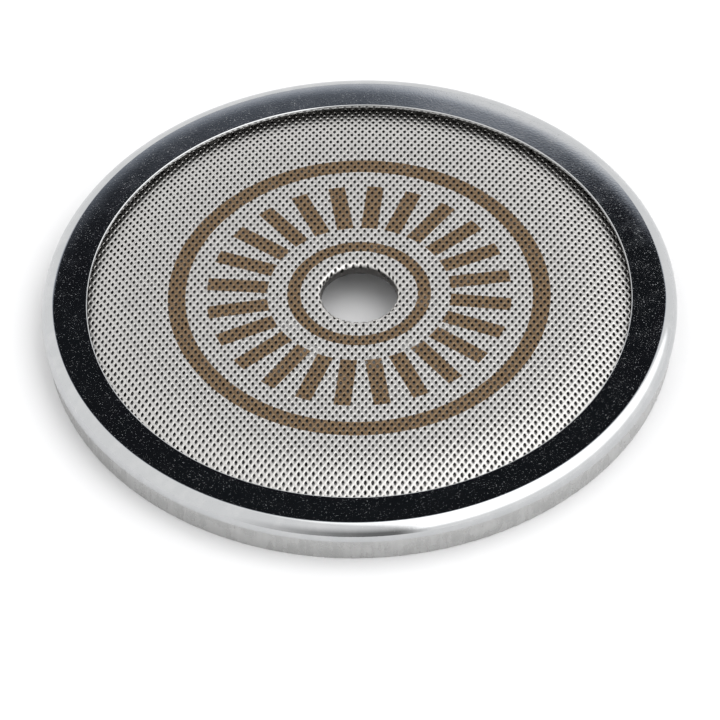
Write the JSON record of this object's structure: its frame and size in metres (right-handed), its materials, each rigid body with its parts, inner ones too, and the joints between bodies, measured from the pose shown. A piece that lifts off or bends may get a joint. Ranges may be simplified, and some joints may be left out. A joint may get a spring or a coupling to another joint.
{
  "type": "espresso group shower screen with a double sieve",
  "caption": "Round stainless shower screen for an espresso group: a fine mesh over a perforated pan, held by a polished clamp ring, with a central screw hole.",
  "frame": {"origin": "on the axis, in the plane of the pan's lower edge, which is what the screen lies on", "axes": "+Z along the axis, towards the fine sieve; the mesh's closest rows lie within 2 degrees of X"},
  "size_m": [0.0575, 0.0574, 0.0041],
  "materials": {
    "polished_steel": "polished",
    "drawn_steel": "satin",
    "mesh_steel": "satin"
  },
  "bodies": {
    "root": {"backing_plate": "drawn_steel", "fine_sieve": "mesh_steel", "clamp_ring": "polished_steel"}
  },
  "joints": []
}
